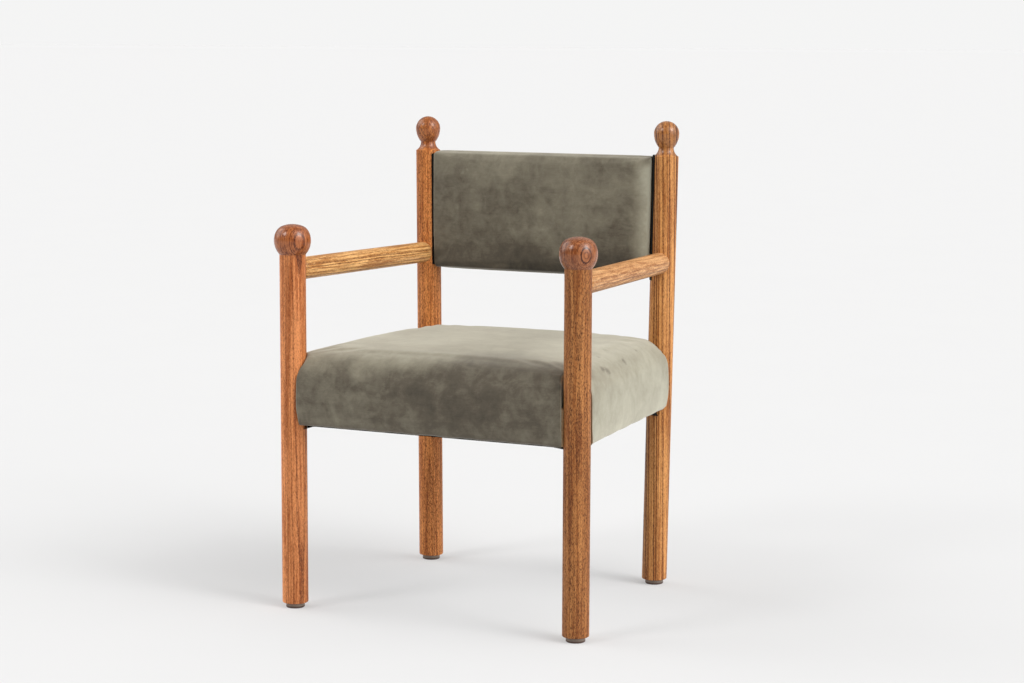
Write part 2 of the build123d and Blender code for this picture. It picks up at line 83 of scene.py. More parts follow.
level_right = CAMERA_FORWARD.cross(Vector((0, 0, 1))).normalized()
level_up = level_right.cross(CAMERA_FORWARD)
camera_right = cos(CAMERA_ROLL) * level_right + sin(CAMERA_ROLL) * level_up
camera_up = camera_right.cross(CAMERA_FORWARD)
turn = Matrix((camera_right, camera_up, -CAMERA_FORWARD)).transposed().to_4x4()

bpy.ops.object.camera_add()
camera = bpy.context.object
camera.name = "camera"
camera.matrix_world = Matrix.Translation(CAMERA_PLACE) @ turn
camera.data.sensor_width = CAMERA_SENSOR
camera.data.lens = CAMERA_LENS
bpy.context.scene.camera = camera
print("camera lens:", CAMERA_LENS, "mm")

# %% [markdown]
# ## Small helpers
# Operators act on whatever is selected, so each step first selects one object
# alone. The node helpers keep the material cells short: `put` adds a shader
# node, and `fill` gives its sockets a number or another node's output. Every
# pattern here is placed by the object's own coordinates, in metres.

# %% Helpers for selecting and for shader nodes
def select_only(obj):
    """Leaves one object selected and active, out of edit mode."""
    if bpy.context.object and bpy.context.object.mode != "OBJECT":
        bpy.ops.object.mode_set(mode="OBJECT")
    bpy.ops.object.select_all(action="DESELECT")
    obj.select_set(True)
    bpy.context.view_layer.objects.active = obj


def fill(tree, node, sockets):
    """Sets or links the input sockets of a shader node."""
    for key, value in sockets.items():
        if isinstance(value, bpy.types.NodeSocket):
            tree.links.new(value, node.inputs[key])
        else:
            node.inputs[key].default_value = value


def put(tree, kind, sockets=None, **settings):
    """Adds a shader node, sets it, and fills its input sockets."""
    made = tree.nodes.new("ShaderNode" + kind)
    for key, value in settings.items():
        setattr(made, key, value)
    fill(tree, made, sockets or {})
    return made


def calc(tree, operation, first, second=0.0, third=0.0, clamp=False):
    """Output of a Math node."""
    sockets = {0: first, 1: second, 2: third}
    return put(tree, "Math", sockets, operation=operation, use_clamp=clamp).outputs[0]


def blend_colours(tree, share, first, second, kind="MIX"):
    """Output of a colour Mix node."""
    sockets = {"Factor": share, 6: first, 7: second}
    return put(tree, "Mix", sockets, data_type="RGBA", blend_type=kind).outputs[2]


def between(tree, value, low, high, to_low=0.0, to_high=1.0):
    """Smooth step of a value from one range to another."""
    sockets = {"Value": value, 1: low, 2: high, 3: to_low, 4: to_high}
    return put(tree, "MapRange", sockets, interpolation_type="SMOOTHSTEP").outputs[0]


def vector_calc(tree, operation, first, second, output="Vector"):
    """Output of a Vector Math node."""
    return put(tree, "VectorMath", {0: first, 1: second}, operation=operation).outputs[output]


def stretched(tree, place, scale):
    """A coordinate with each axis stretched on its own."""
    return vector_calc(tree, "MULTIPLY", place, scale)


def swung(tree, value, amount, base, clamp=False):
    """A base that a noise swings up and down by an amount."""
    return calc(tree, "MULTIPLY_ADD", calc(tree, "SUBTRACT", value, 0.5), amount, base, clamp)


def noise(tree, place, scale, detail=2.0, roughness=0.5, distortion=0.0):
    """Value of a noise texture, about 0.5 on average."""
    sockets = {"Vector": place, "Scale": scale, "Detail": detail,
               "Roughness": roughness, "Distortion": distortion}
    return put(tree, "TexNoise", sockets).outputs[0]


def fresh_material(name):
    """A new material; returns it with its tree, its Principled shader and the object's coordinates."""
    made = bpy.data.materials.new(name)
    made.use_nodes = True
    tree = made.node_tree
    return made, tree, tree.nodes["Principled BSDF"], put(tree, "TexCoord").outputs["Object"]


def relief(tree, height, strength, distance):
    """Normal of a surface that is bumped by a height."""
    return put(tree, "Bump", {"Height": height, "Strength": strength, "Distance": distance}).outputs[0]


print("helpers ready")

# %% [markdown]
# ## Studio floor and light
# The photograph shows a white studio where floor and wall run into each other.
# Lamps near the chair would make a bright pool on the floor, so the light comes
# from the sky instead: soft bright patches far away, a broad one to the right,
# smaller ones on the left, in front and behind. Two patches have a small bright
# core, which gives the polished knobs their gleam. They light an endless floor
# evenly, and the chair alone makes the shadows. The paper floor also glows a
# little, as if lit from below, which keeps those shadows faint. Behind the
# floor the camera sees a plain pale tone.

# %% Floor
FLOOR_SIZE = 400.0
FLOOR_WHITE = (0.415, 0.415, 0.418, 1.0)
FLOOR_FLECK = (0.425, 0.425, 0.428, 1.0)
FLOOR_GLOW = 0.343

bpy.ops.mesh.primitive_plane_add(size=FLOOR_SIZE, location=(0, 0, 0))
floor = bpy.context.object
floor.name = "studio_floor"
paper, tree, shader, place = fresh_material("studio_paper")
white = blend_colours(tree, noise(tree, place, 3.0, 3.0), FLOOR_WHITE, FLOOR_FLECK)
fill(tree, shader, {"Base Color": white, "Roughness": 0.9, "Specular IOR Level": 0.0,
                    "Emission Color": (1.0, 1.0, 1.0, 1.0), "Emission Strength": FLOOR_GLOW})
floor.data.materials.append(paper)
print("floor:", FLOOR_SIZE, "m wide")

# %% Light from the sky
BACKDROP = (0.9097, 0.9092, 0.9063, 1.0)
SKY_COLOUR = (1.0, 0.995, 0.985, 1.0)
SKY_BASE = 0.03  # strength at the horizon,
SKY_TOP = 0.20   # and added to it overhead
SOFT_LIGHTS = {  # azimuth and height, inner and outer size, all in degrees, and strength
    "right": (84.0, 32.0, 10.0, 50.0, 2.4),
    "right_core": (82.0, 36.0, 6.0, 16.0, 9.5),
    "left": (-84.0, 32.0, 12.0, 34.0, 2.4),
    "front_left": (-32.0, 36.0, 8.0, 28.0, 0.5),
    "front_left_core": (-32.0, 38.0, 5.0, 12.0, 9.5),
    "behind": (180.0, 15.0, 25.0, 75.0, 0.40),
}

world = bpy.data.worlds.new("studio_sky")
bpy.context.scene.world = world
world.use_nodes = True
tree = world.node_tree
tree.nodes.clear()
towards = put(tree, "TexCoord").outputs["Generated"]
height = put(tree, "SeparateXYZ", {0: towards}).outputs["Z"]
total = calc(tree, "ADD", between(tree, height, 0.0, 1.0, 0.0, SKY_TOP), SKY_BASE)
for azimuth, elevation, inner, outer, strength in SOFT_LIGHTS.values():
    a, e = radians(azimuth), radians(elevation)
    middle = (sin(a) * cos(e), -cos(a) * cos(e), sin(e))
    facing = vector_calc(tree, "DOT_PRODUCT", towards, middle, "Value")
    patch = between(tree, facing, cos(radians(outer)), cos(radians(inner)), 0.0, strength)
    total = calc(tree, "ADD", total, patch)
lit = put(tree, "Background", {"Color": SKY_COLOUR, "Strength": total})
seen = put(tree, "Background", {"Color": BACKDROP, "Strength": 1.0})
from_camera = put(tree, "LightPath").outputs["Is Camera Ray"]
both = put(tree, "MixShader", {0: from_camera, 1: lit.outputs[0], 2: seen.outputs[0]})
put(tree, "OutputWorld", {"Surface": both.outputs[0]})
bpy.context.scene.view_settings.view_transform = "Standard"
print("soft lights:", len(SOFT_LIGHTS))

# %% [markdown]
# ## Oak
# The posts, arms and knobs are oak turned on a lathe and oiled. A turned piece
# shows its growth rings in two ways: as straight dark lines where the cut runs
# across the rings, and as tall pointed arches where it runs along them. One
# three-dimensional ring pattern gives both, as it does in the tree: rings about
# a pith line that lies outside the piece, cut by the round surface. Good and
# bad years space the rings unevenly. Oak also has open pores, short dark dashes
# along the grain, thickest where each ring starts. The knobs and the tops of
# the rear posts are darker and polished.
# On some posts one side of the round is painted darker, as painted shade where less light falls.

# %% Oak material
OAK_RING = 0.0046  # usual distance between rings
OAK_TAPER = 0.011  # how fast the rings close up along the trunk
OAK_SWAY = 0.016   # how far the grain wanders
OAK_FRAY = 0.0011  # how far the fibres fray a ring
OAK_PACE = 0.010   # how far good and bad years shift the rings
OAK_YEARS = 95.0   # runs of good and bad years per metre
OAK = ((0.80, 0.346, 0.116), (0.40, 0.126, 0.028), (0.115, 0.028, 0.0068))  # pale, middle and dark
# tint of the painted shade on one side of a post
PAINTED_SHADE_TINT = (0.52, 0.47, 0.44, 1.0)
TOP_SHADE = (0.72, 0.64, 0.54, 1.0)
TOP_FADE = 0.008   # height over which the polished top begins
COAT_ROUGHNESS = 0.18
SWAY_CELLS = (6.0, 6.0, 1.6)
GRAIN = {  # noise cells per metre across the grain and along it, detail, roughness, distortion
    "fibre": (700.0, 14.0, 3.0, 0.6), "streak": (290.0, 5.0, 4.0, 0.6), "cloud": (18.0, 5.0, 2.0, 0.5),
    "mottle": (300.0, 85.0, 3.0, 0.6, 0.5), "pore": (880.0, 230.0, 2.0, 0.6), "ray": (420.0, 150.0, 2.0, 0.5),
}


def grain_noise(tree, place, kind):
    """Noise in the cells of one kind of grain."""
    across, along, *look = GRAIN[kind]
    return noise(tree, stretched(tree, place, (across, across, along)), 1.0, *look)


def make_wood(name, pith, turn=(0.0, 0.0, 0.0), ring=OAK_RING, palette=OAK, tint=(1.0, 1.0, 1.0),
              lines=0.85, flecks=0.6, seed=0.0, gloss=0.44, shine=0.28, coat=0.0, painted_shade_band=None, top=None):
    """Wood whose rings stand round the line through pith, along Z once turned.

    lines and flecks are the strength of the rings and of the pores. painted_shade_band
    is the range of radius over which the wood is painted darker, as painted shade
    on the side of a post where less light falls, and by how much. Above top it is
    darker too, and polished.
    """
    pale, middle, dark = [tuple(c * t for c, t in zip(colour, tint)) + (1.0,) for colour in palette]
    made, tree, shader, place = fresh_material(name)
    turned = put(tree, "Mapping", {"Vector": place, "Rotation": turn}).outputs[0]
    grain = vector_calc(tree, "ADD", turned, (-pith[0], -pith[1], seed))
    sway = put(tree, "TexNoise", {"Vector": stretched(tree, grain, SWAY_CELLS), "Scale": 1.0,
                                  "Detail": 3.0, "Roughness": 0.45}).outputs[1]
    sway = vector_calc(tree, "SUBTRACT", sway, (0.5, 0.5, 0.5))
    wander = vector_calc(tree, "ADD", stretched(tree, sway, (OAK_SWAY, OAK_SWAY, 0.0)), grain)
    parts = put(tree, "SeparateXYZ", {0: wander})
    radius = calc(tree, "SQRT", calc(tree, "ADD", calc(tree, "POWER", parts.outputs[0], 2.0),
                                     calc(tree, "POWER", parts.outputs[1], 2.0)))
    radius = calc(tree, "MULTIPLY_ADD", parts.outputs[2], OAK_TAPER, radius)
    fibre = grain_noise(tree, wander, "fibre")
    ragged = swung(tree, fibre, OAK_FRAY, radius)
    pace = put(tree, "TexNoise", {"W": radius, "Scale": OAK_YEARS, "Detail": 2.0},
               noise_dimensions="1D").outputs[0]
    ragged = swung(tree, pace, OAK_PACE, ragged)
    phase = calc(tree, "DIVIDE", ragged, ring)
    year = calc(tree, "FLOOR", phase)
    share = calc(tree, "FRACT", phase)
    strength = put(tree, "TexWhiteNoise", {"W": year}, noise_dimensions="1D").outputs[0]
    early = calc(tree, "MULTIPLY", between(tree, share, 0.0, 0.08), between(tree, share, 0.60, 0.14))
    early = calc(tree, "MULTIPLY", early, calc(tree, "MULTIPLY_ADD", strength, 0.9, 0.15))
    streak = grain_noise(tree, wander, "streak")
    cloud = grain_noise(tree, grain, "cloud")
    mottle = grain_noise(tree, grain, "mottle")
    pore = between(tree, grain_noise(tree, grain, "pore"), 0.48, 0.61)
    dash = calc(tree, "MULTIPLY_ADD", pore, 0.55, 0.62)
    pore = calc(tree, "MULTIPLY", pore, calc(tree, "MULTIPLY_ADD", early, 0.45, flecks), clamp=True)
    ray = calc(tree, "MULTIPLY", between(tree, grain_noise(tree, turned, "ray"), 0.56, 0.68), 0.55)
    tone = between(tree, streak, 0.35, 0.65)
    tone = swung(tree, mottle, 1.6, swung(tree, cloud, 1.3, tone), clamp=True)
    wood = blend_colours(tree, tone, pale, middle)
    wood = blend_colours(tree, ray, wood, pale)
    line = calc(tree, "MULTIPLY", calc(tree, "MULTIPLY", early, dash), lines, clamp=True)
    wood = blend_colours(tree, line, wood, dark)
    deepest = tuple(0.8 * c for c in dark[:3]) + (1.0,)
    wood = blend_colours(tree, calc(tree, "MULTIPLY", pore, 0.74), wood, deepest)
    # painted shade: one side of the post's round is darkened where less light falls
    if painted_shade_band:
        deep = between(tree, radius, painted_shade_band[0], painted_shade_band[1], 0.0, painted_shade_band[2])
        wood = blend_colours(tree, deep, wood, PAINTED_SHADE_TINT, "MULTIPLY")
    if top:
        above = between(tree, put(tree, "SeparateXYZ", {0: place}).outputs[2], top, top + TOP_FADE)
        wood = blend_colours(tree, above, wood, TOP_SHADE, "MULTIPLY")
        coat = calc(tree, "MULTIPLY", above, 0.5)
    rough = calc(tree, "MULTIPLY_ADD", pore, 0.25, calc(tree, "MULTIPLY_ADD", fibre, 0.16, gloss - 0.08))
    height = calc(tree, "ADD", calc(tree, "MULTIPLY", pore, -0.8), calc(tree, "MULTIPLY", fibre, 0.25))
    fill(tree, shader, {"Base Color": wood, "Roughness": rough, "Normal": relief(tree, height, 0.4, 0.0004),
                        "Specular IOR Level": shine, "Coat Weight": coat, "Coat Roughness": COAT_ROUGHNESS})
    return made


def dress(node_name, material):
    """Gives a CAD node a material of its own."""
    mesh = nodes[node_name].data
    mesh.materials.clear()
    mesh.materials.append(material)


print("kinds of grain:", len(GRAIN))

# %% Oak for each turned piece
ARM_TURN = (radians(90.0), 0.0, 0.0)  # the arms' grain runs from front to back
REAR_TOP = 0.790                      # the rear posts' necks and balls start here
POLISHED = dict(flecks=0.4, gloss=0.42, shine=0.10, coat=0.7)
OAK_PIECES = {
    "front_left_post": dict(name="oak_front_left", pith=(-0.345, -0.185), seed=0.31, tint=(1.19, 1.07, 1.11),
                            lines=1.2, flecks=0.5, painted_shade_band=(0.092, 0.104, 0.62)),
    "front_right_post": dict(name="oak_front_right", pith=(0.233, -0.1436), seed=1.7, tint=(1.12, 1.18, 1.08),
                             flecks=0.9, painted_shade_band=(0.109, 0.118, 1.0)),
    "rear_left_post": dict(name="oak_rear_left", pith=(-0.265, 0.305), seed=2.9, tint=(0.90, 0.78, 0.62),
                           flecks=0.9, top=REAR_TOP),
    "rear_right_post": dict(name="oak_rear_right", pith=(0.140, 0.175), seed=4.3, tint=(0.83, 0.88, 0.80),
                            ring=0.0062, lines=2.0, flecks=0.45, painted_shade_band=(0.118, 0.100, 0.55), top=REAR_TOP),
    "left_arm": dict(name="oak_left_arm", pith=(-0.290, 0.480), seed=5.1, tint=(1.06, 1.40, 1.60),
                     turn=ARM_TURN, ring=0.0056, lines=1.0, flecks=0.5),
    "right_arm": dict(name="oak_right_arm", pith=(0.330, 0.520), seed=6.6, tint=(0.92, 1.16, 1.50),
                      turn=ARM_TURN, ring=0.0068, lines=0.7, flecks=0.4),
    "front_left_knob": dict(name="oak_left_knob", pith=(-0.2242, -0.2588), seed=7.2, tint=(0.60, 0.46, 0.44),
                            ring=0.0033, lines=1.3, **POLISHED),
    "front_right_knob": dict(name="oak_right_knob", pith=(0.3163, -0.2678), seed=8.9, tint=(0.50, 0.42, 0.46),
                             ring=0.0022, lines=1.6, **POLISHED),
}

for node_name, look in OAK_PIECES.items():
    dress(node_name, make_wood(**look))
print("oak pieces dressed:", len(OAK_PIECES))

# %% [markdown]
# ## Leather
# The seat and the back wear nubuck: leather sanded to a short nap, grey-green,
# cloudy from brushing and handling. Brushing leaves fine streaks from side to
# side. Light and shade are painted into its colour too: the faces that look
# forward are painted dark, as painted shade, and the top and the sides pale, as
# painted light. An attribute on the mesh carries that painted light and shade,
# worked out from which way each point faces. Sheen lightens the leather where
# the eye skims along it. Marks where the nap was pressed flat are dark smudges
# on the seat and pale scuffs on the back, at listed places.

# %% Nubuck material
# The ramp runs through the leather's clouds and through its painted light and shade, from the painted shade
# of forward faces to the painted light of tops and sides.
NUBUCK = {0.0: (0.022, 0.017, 0.012, 1.0), 0.28: (0.082, 0.067, 0.047, 1.0),
          0.62: (0.215, 0.195, 0.142, 1.0), 1.0: (0.37, 0.355, 0.275, 1.0)}
NUBUCK_SMUDGE = (0.092, 0.074, 0.053, 1.0)
NUBUCK_SCUFF = (0.27, 0.25, 0.185, 1.0)


def make_nubuck(name, seed, smudges=(), mark=NUBUCK_SMUDGE, strength=0.85):
    """Cloudy nubuck; smudges are places, in metres, with a size each."""
    made, tree, shader, place = fresh_material(name)
    moved = vector_calc(tree, "ADD", place, (seed, seed * 0.7, -seed))
    cloud = noise(tree, moved, 8.0, 5.0, 0.6, 0.5)
    patch = noise(tree, moved, 27.0, 5.0, 0.62, 0.9)
    blotch = noise(tree, moved, 75.0, 4.0, 0.65, 0.6)
    brushed = noise(tree, stretched(tree, moved, (11.0, 75.0, 85.0)), 1.0, 4.0, 0.62, 0.4)
    thread = noise(tree, stretched(tree, moved, (90.0, 420.0, 460.0)), 1.0, 2.0, 0.6)
    grit = noise(tree, moved, 900.0, 3.0, 0.7)
    # painted light and shade from the mesh: high where a point faces up or sideways, low where it faces
    # forward or down
    painted_light_share = put(tree, "Attribute", attribute_name="painted_light").outputs["Fac"]
    tone = calc(tree, "MULTIPLY_ADD", painted_light_share, 0.48, 0.30)
    for part, share in ((cloud, 0.66), (patch, 0.46), (blotch, 0.24),
                        (brushed, 0.15), (thread, 0.09), (grit, 0.14)):
        tone = swung(tree, part, share, tone)
    ramp = put(tree, "ValToRGB", {0: tone})
    stops = ramp.color_ramp.elements
    stops[0].color, stops[1].color = NUBUCK[0.0], NUBUCK[1.0]
    for at in (0.28, 0.62):
        stops.new(at).color = NUBUCK[at]
    skin = ramp.outputs[0]
    edge = noise(tree, moved, 160.0, 3.0, 0.6)
    for spot, size in smudges:
        away = swung(tree, edge, size * 1.4, vector_calc(tree, "DISTANCE", place, spot, "Value"))
        press = between(tree, away, size, size * 0.05, 0.0, strength)
        skin = blend_colours(tree, press, skin, mark)
    pebble = put(tree, "TexVoronoi", {"Vector": moved, "Scale": 520.0}).outputs[0]
    height = calc(tree, "ADD", calc(tree, "MULTIPLY", grit, 0.6), calc(tree, "MULTIPLY", pebble, 0.3))
    height = calc(tree, "MULTIPLY_ADD", patch, 1.2, height)
    height = calc(tree, "MULTIPLY_ADD", thread, 0.6, height)
    fill(tree, shader, {"Base Color": skin, "Roughness": calc(tree, "MULTIPLY_ADD", patch, 0.16, 0.74),
                        "Normal": relief(tree, height, 0.24, 0.0006), "Specular IOR Level": 0.18,
                        "Sheen Weight": 0.6, "Sheen Roughness": 0.5, "Sheen Tint": (0.97, 0.94, 0.82, 1.0)})
    return made


# places and sizes of the marks
SEAT_SMUDGES = [((0.2727, -0.0909, 0.4439), 0.0125), ((0.2697, -0.1060, 0.4487), 0.0095),
                ((0.2630, 0.0057, 0.4476), 0.0095), ((0.2473, 0.0967, 0.4556), 0.0060),
                ((0.2410, -0.0628, 0.4634), 0.0060)]
BACK_SCUFFS = [((-0.158, 0.2072, 0.7520), 0.0060), ((-0.148, 0.2072, 0.7585), 0.0050),
               ((0.2085, 0.2105, 0.6850), 0.0050), ((0.2110, 0.2105, 0.6640), 0.0060)]
back_nubuck = make_nubuck("nubuck_back", 7.9, BACK_SCUFFS, NUBUCK_SCUFF, 0.45)
print("nubuck made, scuffs:", len(BACK_SCUFFS))

# %% [markdown]
# ## Shaping the padded pieces
# A padded piece starts as a plain block that is cut round the posts. A voxel
# remesh gives it an even skin, and a Shrinkwrap draws that skin onto the CAD
# solid, so its size stays right. Then the skin is drawn in a little and blown
# up again with the Cloth simulation, held where the real leather is tacked or
# squeezed: round the posts and underneath. A limit on how far each point may
# travel keeps the piece in the room its CAD solid has. Last, the painted light
# and shade of the leather are worked out for every point of the finished skin.

# %% Where the posts stand
POST_RADIUS = 0.023
POST_GAP = 0.0006       # usual room between a post and what is cut round it
FRONT_POST = Vector((0.272, -0.224564, 0.0))
REAR_POST = Vector((0.233, 0.225436, 0.0))
REAR_SPLAY = radians(0.73)
REAR_RAKE = radians(0.58)


def post_axis(front, side):
    """Foot and direction of a post's axis; side is -1 for left and 1 for right."""
    foot = FRONT_POST if front else REAR_POST
    lean = Vector((0, 0, 1)) if front else Vector((side * np.tan(REAR_SPLAY), np.tan(REAR_RAKE), 1))
    return Vector((side * foot.x, foot.y, 0)), lean


POST_AXES = {(front, side): post_axis(front, side) for front in (True, False) for side in (-1, 1)}


def beside_post(points, key):
    """The nearest point of a post's axis to each point, and the way from there to it."""
    foot, lean = POST_AXES[key]
    along = np.array(lean) / np.linalg.norm(lean)
    offset = points - np.array(foot)
    axial = np.outer(offset @ along, along)
    return np.array(foot) + axial, offset - axial


def from_post(points, key):
    """Distance of each point from a post's axis."""
    return np.linalg.norm(beside_post(points, key)[1], axis=1)


def from_nearest_post(points, keys):
    """Distance of each point from the surface of the nearest of some posts."""
    return np.min([from_post(points, key) for key in keys], axis=0) - POST_RADIUS


def points_of(obj):
    """A mesh's vertices as an array."""
    points = np.empty(len(obj.data.vertices) * 3)
    obj.data.vertices.foreach_get("co", points)
    return points.reshape(-1, 3)


def normals_of(obj):
    """A mesh's vertex normals as an array."""
    normals = np.empty(len(obj.data.vertices) * 3, np.float32)
    obj.data.vertex_normals.foreach_get("vector", normals)
    return normals.reshape(-1, 3).astype(float)


def move_points(obj, points):
    """Puts an array of places back into the mesh."""
    obj.data.vertices.foreach_set("co", points.ravel())
    obj.data.update()


print("post axes:", len(POST_AXES))

# %% Blocks, cuts and skins
def block(name, low, high):
    """A cube fitted between two corners, with its place in its mesh."""
    bpy.ops.mesh.primitive_cube_add(size=1.0, location=(low + high) / 2)
    made = bpy.context.object
    made.name = made.data.name = name
    made.scale = high - low
    bpy.ops.object.transform_apply()
    return made


def choose(obj, test, edges=False):
    """Goes into edit mode with only the vertices, or the edges, that pass the test selected."""
    select_only(obj)
    bpy.ops.object.mode_set(mode="EDIT")
    bpy.ops.mesh.select_mode(type="EDGE" if edges else "VERT")
    bpy.ops.mesh.select_all(action="DESELECT")
    bpy.ops.object.mode_set(mode="OBJECT")
    vertices = obj.data.vertices
    for part in obj.data.edges if edges else vertices:
        places = [vertices[i].co for i in part.vertices] if edges else [part.co]
        part.select = bool(test(*places))
    bpy.ops.object.mode_set(mode="EDIT")


def apply_all(obj):
    """Applies every modifier of an object, in order."""
    select_only(obj)
    for name in [modifier.name for modifier in obj.modifiers]:
        bpy.ops.object.modifier_apply(modifier=name)


def cut_round_posts(obj, keys, gap):
    """Cuts a solid away round posts, leaving a gap."""
    for key in keys:
        foot, lean = POST_AXES[key]
        bpy.ops.mesh.primitive_cylinder_add(vertices=96, radius=POST_RADIUS + gap, depth=2.4, location=foot,
                                            rotation=lean.to_track_quat("Z", "Y").to_euler())
        cutter = bpy.context.object
        cut = obj.modifiers.new("cut", "BOOLEAN")
        cut.object = cutter
        apply_all(obj)
        bpy.data.objects.remove(cutter)


def even_skin(obj, voxel):
    """Remeshes a solid into an even skin of small squares."""
    remesh = obj.modifiers.new("remesh", "REMESH")
    remesh.voxel_size = voxel
    apply_all(obj)


def weigh(obj, name, weights, least=0.01):
    """Makes a vertex group of all weights above the least."""
    group = obj.vertex_groups.new(name=name)
    for index in np.flatnonzero(weights > least):
        group.add([int(index)], float(weights[index]), "REPLACE")


def softened(obj, group_name, passes):
    """Evens out the skin where a vertex group's weights are high."""
    even = obj.modifiers.new("even", "SMOOTH")
    even.factor = 0.5
    even.iterations = passes
    even.vertex_group = group_name
    apply_all(obj)


def drawn_onto(obj, node_name, taken):
    """Draws chosen points onto the outside of a CAD node."""
    weigh(obj, "drawn", taken)
    wrap = obj.modifiers.new("wrap", "SHRINKWRAP")
    wrap.target = nodes[node_name]
    wrap.vertex_group = "drawn"
    softened(obj, "drawn", 2)


def blown_up(obj, held, drawn_in, cap, frames=20):
    """Draws the skin in, blows it up as cloth, and limits how far a point went."""
    full = points_of(obj)
    start = full - normals_of(obj) * (drawn_in * (1.0 - held))[:, None]
    move_points(obj, start)
    weigh(obj, "held", held, 0.02)
    cloth = obj.modifiers.new("cloth", "CLOTH")
    settings = cloth.settings
    settings.quality = 5
    settings.mass = 0.4
    settings.tension_stiffness = settings.compression_stiffness = 25.0
    settings.shear_stiffness = 12.0
    settings.bending_stiffness = 1.5
    settings.use_pressure = True
    settings.uniform_pressure_force = 4.0
    settings.effector_weights.gravity = 0.0
    settings.vertex_group_mass = "held"
    for step in range(1, frames + 1):
        bpy.context.scene.frame_set(step)
    apply_all(obj)
    bpy.context.scene.frame_set(1)
    moved = points_of(obj) - start
    length = np.linalg.norm(moved, axis=1)
    share = np.minimum(1.0, cap / np.maximum(length, 1e-9))
    print(obj.name, "swelled by up to", round(1000 * float(length.max()), 1), "mm, kept to", 1000 * cap)
    move_points(obj, start + moved * share[:, None])


def clear_of_posts(obj, keys, gap):
    """Pushes any point that came too near a post back outside it."""
    points = points_of(obj)
    for key in keys:
        axis, radial = beside_post(points, key)
        distance = np.linalg.norm(radial, axis=1)
        near = distance < POST_RADIUS + gap
        radial[near] *= ((POST_RADIUS + gap) / distance[near])[:, None]
        points = axis + radial
    move_points(obj, points)


def smooth(share):
    """Smooth step of an array of shares, from 0 to 1."""
    share = np.clip(share, 0.0, 1.0)
    return share * share * (3.0 - 2.0 * share)


# Bands at the edges that get their own painted light and shade:
RIM_SHARE = 0.16   # share of the height that counts as the upper edge
FOOT_SHARE = 0.35  # share of the height that counts as the lower edge
END_WIDTH = 0.040  # width that counts as the right end
END_TAPER = 0.988  # how much narrower the piece is at its foot


def painted_light_of(obj, ground=0.0, lids=1.0, rim=0.0, foot=0.0, turn=None, ends=0.0, slope=0.0):
    """Painted light and shade at each point, from its facing and its height.

    Faces that look up, sideways or back are painted light, and faces that look
    forward or down get painted shade. turn tells how far behind the front edge a top
    turns from painted shade to painted light, and over what width, from left to
    right. With it, the top is also painted paler towards the rear; without it, the
    top counts by lids alone. rim, foot and ends add painted light to the upper
    edge, the lower edge and the right end, and painted shade where they are
    negative. slope lightens the whole upper part.
    """
    x, y, z = normals_of(obj).T
    from_left, from_front, up = points_of(obj).T
    behind = from_front - from_front.min()
    below = up.max() - up
    depth = below / np.ptp(up)
    lid = lids * smooth((z - 0.5) / 0.5)
    if turn:
        spots, middles, halves = zip(*turn)
        middle, half = np.interp(from_left, spots, middles), np.interp(from_left, spots, halves)
        middle = middle + 0.006 * np.sin(61 * from_left) + 0.004 * np.sin(137 * from_left + 60 * from_front)
        lid = smooth((behind - below - middle + half) / (2 * half))
        lid *= 0.78 + 0.22 * smooth(behind / 0.30)
        lid *= smooth((z + 0.2) / 0.4)
    sides = smooth((np.maximum(np.abs(x), y) - 0.30) / 0.60)
    painted_light = ground + rim * smooth(1.0 - depth / RIM_SHARE)
    painted_light += foot * smooth((depth - 1.0 + FOOT_SHARE) / FOOT_SHARE)
    from_end = np.interp(depth, (0, 1), (1, END_TAPER)) * from_left.max() - from_left
    painted_light += ends * smooth(1.0 - from_end / END_WIDTH) * smooth((depth - 0.02) / 0.10)
    painted_light += slope * (0.5 - depth) - 0.10 * slope * from_left / 0.2
    return painted_light + np.maximum(lid, sides) - 0.45 * np.clip(-z, 0.0, 1.0)


def finish_soft(obj, material, levels=1, **painted_light_settings):
    """Subdivides and smooths a piece, and gives it the leather with its painted light and shade."""
    obj.vertex_groups.clear()
    if levels:
        rounder = obj.modifiers.new("rounder", "SUBSURF")
        rounder.levels = rounder.render_levels = levels
        apply_all(obj)
    select_only(obj)
    bpy.ops.object.shade_smooth()
    painted_light = painted_light_of(obj, **painted_light_settings)
    # the painted light and shade are stored on the points and read by the leather's colour
    attribute = obj.data.attributes.new("painted_light", "FLOAT", "POINT")
    attribute.data.foreach_set("value", painted_light.astype(np.float32))
    obj.data.materials.clear()
    obj.data.materials.append(material)


print("padding helpers ready")

# %% [markdown]
# ## The seat
# The seat is a deep foam cushion over a wooden frame, under one piece of nubuck
# that is pulled down tight and tacked underneath. Its front and sides swell a
# little, its top is crowned, and the corners are notched round the posts.

# %% Seat cushion
SEAT_SHOULDER = 0.044     # rounding of the block's upper edges,
SEAT_HEM = 0.005          # and of its lower ones
SEAT_FRONT_HALF = 0.2952  # half widths at the front and at the rear
SEAT_REAR_HALF = 0.2575
SEAT_VOXEL = 0.0055
ALL_POSTS = list(POST_AXES)

low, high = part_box("seat_cover")
seat_low = low.z
seat = block("seat_cushion", Vector((-SEAT_FRONT_HALF, low.y, low.z)),
             Vector((SEAT_FRONT_HALF, high.y, high.z + 0.001)))
choose(seat, lambda co: co.y > 0)
bpy.ops.transform.resize(value=(SEAT_REAR_HALF / SEAT_FRONT_HALF, 1, 1), center_override=(0, 0, 0))
choose(seat, lambda co: co.z > 0.4)
bpy.ops.mesh.bevel(offset=SEAT_SHOULDER, segments=8)
choose(seat, lambda co: co.z < seat_low + 0.001)
bpy.ops.mesh.bevel(offset=SEAT_HEM, segments=3)
bpy.ops.object.mode_set(mode="OBJECT")
cut_round_posts(seat, ALL_POSTS, POST_GAP)
even_skin(seat, SEAT_VOXEL)
choose(seat, lambda co: abs(co.x) < 0.1 and abs(co.y) < 0.1)       # keeps the seat, not the cut-off corners
bpy.ops.mesh.select_linked()
